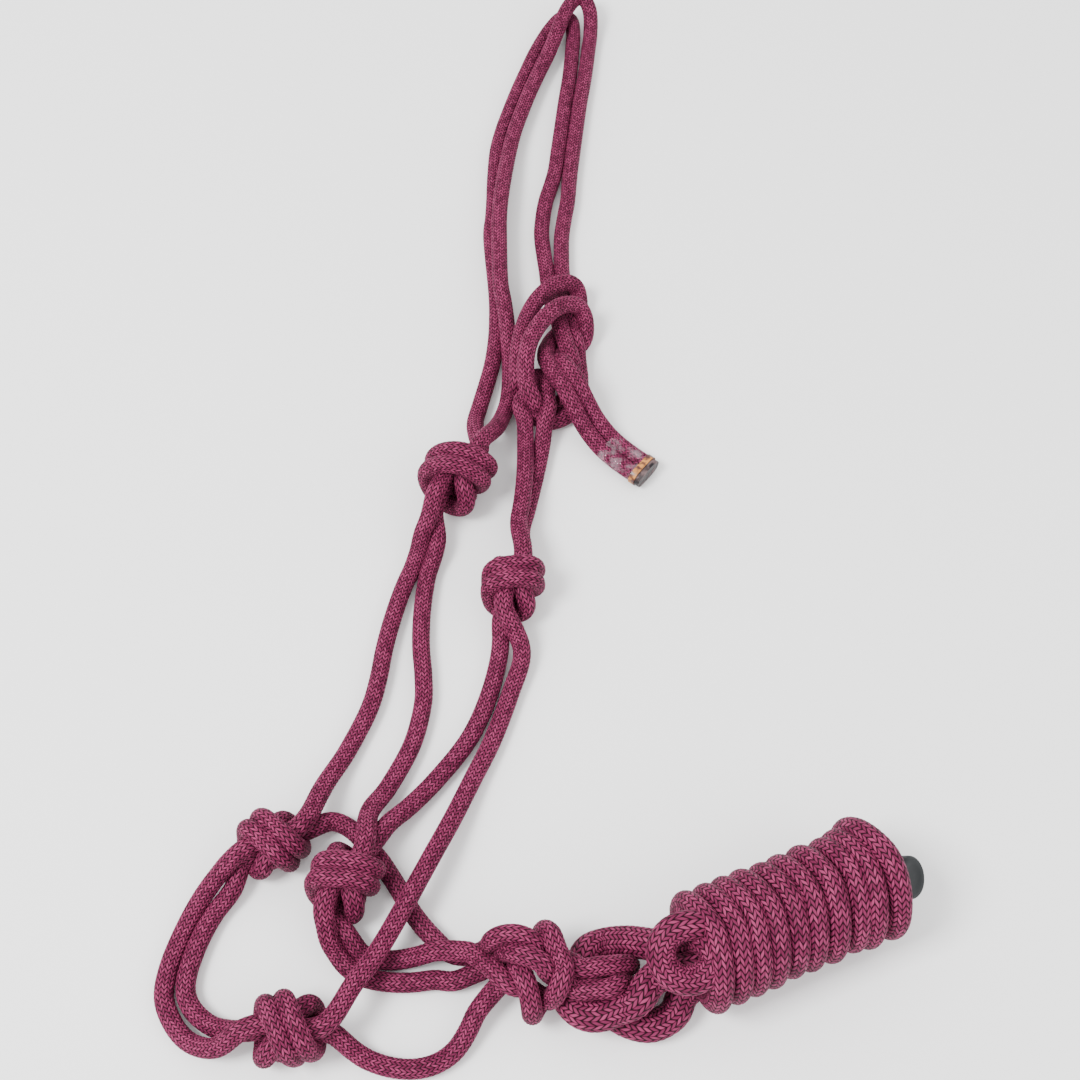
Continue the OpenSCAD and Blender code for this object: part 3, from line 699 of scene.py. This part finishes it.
def rubber_material():
    n = Nodes("cap_rubber")
    grain = n.noise(900.0, 2.0)
    scuff = n.noise(120.0, 5.0)
    colour = n.mix(scuff, (0.007, 0.008, 0.009, 1), (0.022, 0.025, 0.027, 1))
    bump = n.add("ShaderNodeBump")
    bump.inputs["Strength"].default_value = 0.25
    bump.inputs["Distance"].default_value = 0.0002
    n.plug(grain, bump.inputs["Height"])
    n.set(**{"Base Color": colour, "Normal": bump.outputs[0],
             "Roughness": n.math("MULTIPLY_ADD", scuff, 0.3, 0.5), "Specular IOR Level": 0.25})
    return n.material


def sleeve_material():
    n = Nodes("clear_sleeve")
    # The whitish, partly opaque patches that this noise makes on the clear sleeve are painted glints.
    cloud = n.noise(260.0, 4.0)
    crease = n.noise(700.0, 3.0)
    bump = n.add("ShaderNodeBump")
    bump.inputs["Strength"].default_value = 0.6
    bump.inputs["Distance"].default_value = 0.0005
    n.plug(crease, bump.inputs["Height"])
    n.set(**{"Base Color": n.mix(cloud, (0.80, 0.62, 0.70, 1), (0.95, 0.90, 0.93, 1)),
             "Normal": bump.outputs[0], "Roughness": n.math("MULTIPLY_ADD", cloud, 0.2, 0.08),
             "Alpha": n.math("MULTIPLY", n.spread(cloud, 0.40, 0.80), 0.09), "Coat Weight": 0.5})
    return n.material


def band_material():
    n = Nodes("orange_band")
    wear = n.spread(n.noise(330.0, 5.0), 0.38, 0.58)
    colour = n.mix(wear, (0.06, 0.012, 0.008, 1), (0.50, 0.19, 0.035, 1))
    n.set(**{"Base Color": colour, "Roughness": n.math("MULTIPLY_ADD", wear, 0.3, 0.3)})
    return n.material


def melted_material():
    n = Nodes("melted_end")
    cloud = n.spread(n.noise(330.0, 5.0), 0.38, 0.70)
    colour = n.mix(cloud, (0.010, 0.007, 0.009, 1), (0.13, 0.085, 0.085, 1))
    bump = n.add("ShaderNodeBump")
    bump.inputs["Strength"].default_value = 0.7
    bump.inputs["Distance"].default_value = 0.0006
    n.plug(cloud, bump.inputs["Height"])
    n.set(**{"Base Color": colour, "Normal": bump.outputs[0],
             "Roughness": n.math("MULTIPLY_ADD", cloud, 0.3, 0.35), "Specular IOR Level": 0.2})
    return n.material


def floor_material():
    n = Nodes("pale_floor")
    cloud = n.noise(3.0)
    n.set(**{"Base Color": n.mix(cloud, (0.90, 0.90, 0.90, 1), (0.94, 0.94, 0.94, 1)), "Roughness": 0.9})
    return n.material


# ---- Camera, light and floor ----
def make_camera():
    """Looks down at 60 degrees, from 0.78 m, at the table's zero, as the photograph does."""
    data = bpy.data.cameras.new("camera")
    data.sensor_width = 36.0
    data.lens = 56.1
    data.clip_start = 0.01
    camera = bpy.data.objects.new("camera", data)
    camera.location = np.array([0.0, -0.3895, 0.6746]) - MIDDLE
    camera.rotation_euler = (math.radians(30), 0, 0)
    bpy.context.scene.collection.objects.link(camera)
    bpy.context.scene.camera = camera


def make_light(name, place, size, power, spot=(0, 0, 0)):
    data = bpy.data.lights.new(name, "AREA")
    data.size = size
    data.energy = power
    light = bpy.data.objects.new(name, data)
    light.location = place
    way = np.array(spot, float) - np.array(place, float)
    light.rotation_euler = (math.atan2(math.hypot(way[0], way[1]), -way[2]), 0,
                            math.atan2(way[1], way[0]) - math.pi / 2)
    bpy.context.scene.collection.objects.link(light)


def make_room():
    world = bpy.data.worlds.new("studio")
    world.use_nodes = True
    world.node_tree.nodes["Background"].inputs[0].default_value = (1, 1, 1, 1)
    world.node_tree.nodes["Background"].inputs[1].default_value = 1.75
    bpy.context.scene.world = world
    make_light("key", (-0.9, -0.5, 1.5), 0.6, 44)
    make_light("fill", (1.2, -0.9, 1.2), 1.2, 8)
    mesh = bpy.data.meshes.new("floor")
    far = 4.0
    mesh.from_pydata([(-far, -far, 0), (far, -far, 0), (far, far, 0), (-far, far, 0)], [], [(0, 1, 2, 3)])
    floor = bpy.data.objects.new("floor", mesh)
    floor.location.z = -0.0006
    bpy.context.scene.collection.objects.link(floor)
    mesh.materials.append(floor_material())


def hand_over(piece, material, slot, body, *nodes):
    piece.data.materials.append(material)
    if body:
        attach(piece, body)
    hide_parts(*nodes)
    return piece


# ---- The lead rope ----
LEAD_R = LEAD_D / 2
WRAP_R = HANK_R - LEAD_R
AXIS = flat(HANK_ANGLE)
CAP_AXIS = np.array([math.sin(CAP_TILT) * math.cos(CAP_TURN), math.sin(CAP_TILT) * math.sin(CAP_TURN),
                     math.cos(CAP_TILT)])
ASIDE = flat(HANK_ANGLE - 90)


def in_hank(s, radius, angle):
    """A place in the wound lead: s along its axis, radius out from it, and angle degrees round it, from the
    front up over the top."""
    a = math.radians(angle)
    centre = np.array([HANK_START[0], HANK_START[1], HANK_R]) + s * AXIS
    return centre + radius * (math.cos(a) * ASIDE + math.sin(a) * np.array([0, 0, 1]))


def wrap_route():
    """Out from the middle at the near end, round and round towards the far end, and in under the last turn.
    Each turn moves on under the hank, where it lies on the table, and bulges towards the far end on top."""
    rng = np.random.default_rng(7)
    route = [in_hank(0.016, 0.003, 200), in_hank(0.012, 0.009, 250)]
    steps = 24
    nudge = rng.normal(0, 0.0010, HANK_TURNS + 2)
    sunk = rng.uniform(0, 0.0014, HANK_TURNS + 2)
    pitch = (HANK_LEN - 0.022) / (HANK_TURNS - 1)
    for i in range(HANK_TURNS * steps + 1):
        turn, part = divmod(i, steps)
        angle = 290 + 360 * part / steps
        under = 0.5 - 0.5 * math.cos(math.pi * min(1.0, max(0.0, (part / steps - 0.72) / 0.28)))
        s = 0.010 + pitch * (turn + under) + nudge[turn] * (1 - under) + nudge[turn + 1] * under
        bulge = 0.0028 * math.cos(math.radians(angle - 410))
        lift = 0.0
        if turn >= HANK_TURNS - 1:
            # The last turn leans, and rides up on the one before it at the back
            bulge = 0.0048 * math.cos(math.radians(angle - 390))
            lift = 0.0028 * max(0.0, math.cos(math.radians(angle - 490)))
        # Each turn leans: it lies nearer the near end at the front than at the back
        s = min(s + bulge, HANK_LEN - 0.0065) - 0.0055 * max(0.0, math.cos(math.radians(angle)))
        deep = sunk[turn] * (1 - under) + sunk[turn + 1] * under
        route.append(in_hank(s, WRAP_R - 0.0002 - deep + lift, angle))
    route += [in_hank(HANK_LEN - 0.008, 0.013, 330), in_hank(HANK_LEN - 0.012, 0.006, 30),
              in_hank(HANK_LEN - 0.022, 0.005, 60)]
    return route


def on_eye(radius, angle, deep):
    """A place on the eye's ring, which faces the camera: radius out from its middle, angle degrees round, and
    deep below it."""
    a = math.radians(angle)
    right = np.array([1.0, 0.0, 0.0])
    up = np.array([0.0, math.cos(LEAN), math.sin(LEAN)])
    out = np.cross(right, up)
    return EYE_CENTRE + radius * (math.cos(a) * right + math.sin(a) * up) - deep * out


def inner_route():
    """The lead inside the wraps: to the far end, back to the near end, round the eye, and out to the cap."""
    cap = CAP_PLACE + 0.004 * CAP_AXIS
    route = [in_hank(0.014, 0.0055, 210), in_hank(0.03, 0.0062, 210), in_hank(0.06, 0.0062, 210),
             in_hank(0.080, 0.0062, 215), in_hank(0.0885, 0.0060, 240), in_hank(0.0885, 0.0060, 300),
             in_hank(0.080, 0.0062, 325), in_hank(0.06, 0.0062, 330), in_hank(0.03, 0.0062, 335),
             in_hank(0.020, 0.009, 50)]
    route += [on_eye(EYE_R, 48, 0.009), on_eye(EYE_R, 75, 0.002)]
    route += [on_eye(EYE_R, angle, 0) for angle in range(105, 346, 30)]
    route += [on_eye(0.0095, 368, 0.001), on_eye(0.0068, 395, 0.006), on_eye(0.0035, 380, 0.014)]
    route += [in_hank(0.022, 0.006, 90), in_hank(0.04, 0.0062, 90), in_hank(0.06, 0.0062, 90),
              in_hank(0.075, 0.0068, 80), cap - 0.012 * CAP_AXIS, cap]
    return route


def hitch_route():
    """The lead's loop through the heel loops, with both its ends led on into the wound lead."""
    ahead = [in_hank(0.016, 0.004, 160), in_hank(0.006, 0.004, 140)]
    after = [in_hank(0.004, 0.004, 40), in_hank(0.014, 0.004, 20)]
    return ahead + [np.array(q) for q in LEAD_LOOP] + after


def under_route():
    return [np.array(q) for q in LEAD_UNDER] + [in_hank(0.010, 0.014, 300)]


# ---- Making the pieces ----
PULLED = ("nose_knot_far", "nose_knot_near", "throat_knot", "cheek_knot_far", "cheek_knot_near", "chin_knot")
TIED = ("tie_left", "tie_right")
FOLDING = ("crown_outer", "crown_inner")
TAILS = ("tail_left", "tail_right")


def holding(name):
    """How firmly a stretch keeps its place while the ropes are pulled tight."""
    if "knot" in name:
        return 0.006
    if "tie" in name:
        return 0.02
    if "heel" in name:
        return 0.05
    if name in FOLDING or name in TAILS:
        return 0.5
    return 0.22


def pressed(name):
    return TIGHT if any(word in name for word in KNOTS) else SNUG


def along_spans(line, spans, value):
    """A value for each point of a line from one for each span, eased across the spans' ends."""
    at = np.linspace(0, 1, len(line))
    out = np.zeros(len(line))
    for name, a, b in spans:
        out[(at >= a) & (at <= b)] = value(name)
    for _ in range(4):
        out[1:-1] = 0.25 * out[:-2] + 0.5 * out[1:-1] + 0.25 * out[2:]
    return out


def make_ropes():
    order = rope_order()
    # The crown pieces run on past the fold, each as one piece
    line, spans = lay_out(order, 0.002)
    hitch, _ = smooth(hitch_route(), 0.002)
    under, _ = smooth(under_route(), 0.002)
    lines = [line, hitch, under]
    holds = [along_spans(line, spans, holding), np.full(len(hitch), 0.08), np.full(len(under), 0.08)]
    radii = [along_spans(line, spans, lambda name: ROPE_D / 2 * pressed(name)),
             np.full(len(hitch), LEAD_R * 0.9), np.full(len(under), LEAD_R * 0.9)]
    holds[0][:4] = 1
    holds[0][-4:] = 1
    shrinks = [along_spans(line, spans, lambda name: KNOT_PULL if name in PULLED else 1.0),
               np.ones(len(hitch)), np.ones(len(under))]
    line, hitch, under = relax(lines, holds, radii, shrinks, 260)

    # Each braid's first colour is painted shade for the gaps between stitches, and its last a painted highlight
    # for lit stitch tops.
    halter_look = braid_material("halter_braid", (0.006, 0.0001, 0.0018, 1), (0.085, 0.0045, 0.028, 1),
                                 (0.33, 0.046, 0.128, 1))
    lead_look = braid_material("lead_braid", (0.0065, 0.0001, 0.0020, 1), (0.090, 0.0050, 0.030, 1),
                               (0.34, 0.048, 0.132, 1))
    r = along_spans(line, spans, lambda name: ROPE_D / 2 * (1.03 if name in PULLED + TIED else 0.985))
    pieces = braided_tube(line, r, HALTER_STITCH, spans)
    also = {
        "crown_outer": ("crown_outer", "crown_leg_outer"),
        "crown_inner": ("crown_inner", "crown_leg_inner"),
    }
    for name, parts in pieces.items():
        piece = build_mesh(name + "_braid", parts)
        crosses = name in FOLDING or name in TAILS
        hand_over(piece, halter_look, "halter_rope", None if crosses else "halter", *also.get(name, (name,)))
        if name in FOLDING:
            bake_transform(piece)
        if name in TAILS:
            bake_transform(piece)
    make_lead(lead_look, hitch, under)


def soft_path(line):
    """A cord's line as it is modelled, in the frame."""
    return even_line(line, 0.002)[0] - MIDDLE


def lead_piece(name, line, look, radius, **settings):
    """One piece of the lead rope along a line."""
    piece = build_mesh(name, braided_tube(line, radius, LEAD_STITCH, relief=LEAD_RELIEF, **settings)["whole"])
    piece.data.materials.append(look)
    return piece


def make_lead(look, hitch, under):
    for name, line, node in (("lead_hitch", hitch, "lead_loop"), ("lead_turn", under, "lead_under")):
        piece = lead_piece(name, line, look, LEAD_R * 0.97)
        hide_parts(node)
        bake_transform(piece)
    wraps, _ = smooth(wrap_route(), 0.001)
    pressed_flat = 0.26 * np.broadcast_to(AXIS, wraps.shape)
    wrap_piece = lead_piece("lead_wraps", wraps, look, LEAD_R, around=56, spacing=0.00052, press=pressed_flat)
    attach(wrap_piece, "wound_lead")
    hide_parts("lead_hank")
    inner, _ = smooth(inner_route(), 0.001)
    inner_piece = lead_piece("lead_inner", inner, look, LEAD_R * 0.89)
    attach(inner_piece, "wound_lead")
    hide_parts("lead_eye")
    cap = make_cap()
    soft_path(wraps)
    soft_path(inner)


def lathe(name, outline, centre, x, around=96):
    """A turned piece from (along, radius) points, along the axis x."""
    y = np.cross([0.0, 0.0, 1.0], x)
    y /= np.linalg.norm(y)
    z = np.cross(x, y)
    turn = np.arange(around) * 2 * math.pi / around
    rings = np.array([[centre + s * x + r * (math.cos(t) * y + math.sin(t) * z) for t in turn]
                      for s, r in outline])
    return build_mesh(name, [(rings, np.array([s for s, _ in outline]))])


def make_cap():
    """The rubber cap: a straight wall with a rolled mouth and a rounded, slightly hollow end."""
    r = CAP_D / 2
    edge = [(CAP_LEN - CAP_ROUND + CAP_ROUND * math.sin(math.radians(a)),
             r - CAP_ROUND + CAP_ROUND * math.cos(math.radians(a))) for a in range(0, 91, 15)]
    mouth = [(0.0006 - 0.0006 * math.cos(math.radians(a)), r + 0.0002 * math.sin(math.radians(a)))
             for a in range(0, 181, 30)]
    end = [(CAP_LEN - 0.0001, r - 0.003), (CAP_LEN - 0.0005, 0.0045), (CAP_LEN - 0.0006, 0.0022),
           (CAP_LEN - 0.0006, 0.0001)]
    wall = [(0.0030, r), (0.0090, r)]
    cap = lathe("lead_cap", [(0, r - 0.0006)] + mouth + wall + edge + end, CAP_PLACE, CAP_AXIS)
    return hand_over(cap, rubber_material(), "rubber_cap", "wound_lead", "lead_end_cap")


def make_tail_fittings():
    """The sleeve, the band and the melted end keep their CAD shape, and only get their looks here."""
    for node, material in (("tail_sleeve", sleeve_material()), ("tail_band", band_material()),
                           ("tail_end", melted_material())):
        data = bpy.data.objects[node].data
        data.materials.clear()
        data.materials.append(material)


make_camera()
make_ropes()
make_tail_fittings()
make_room()
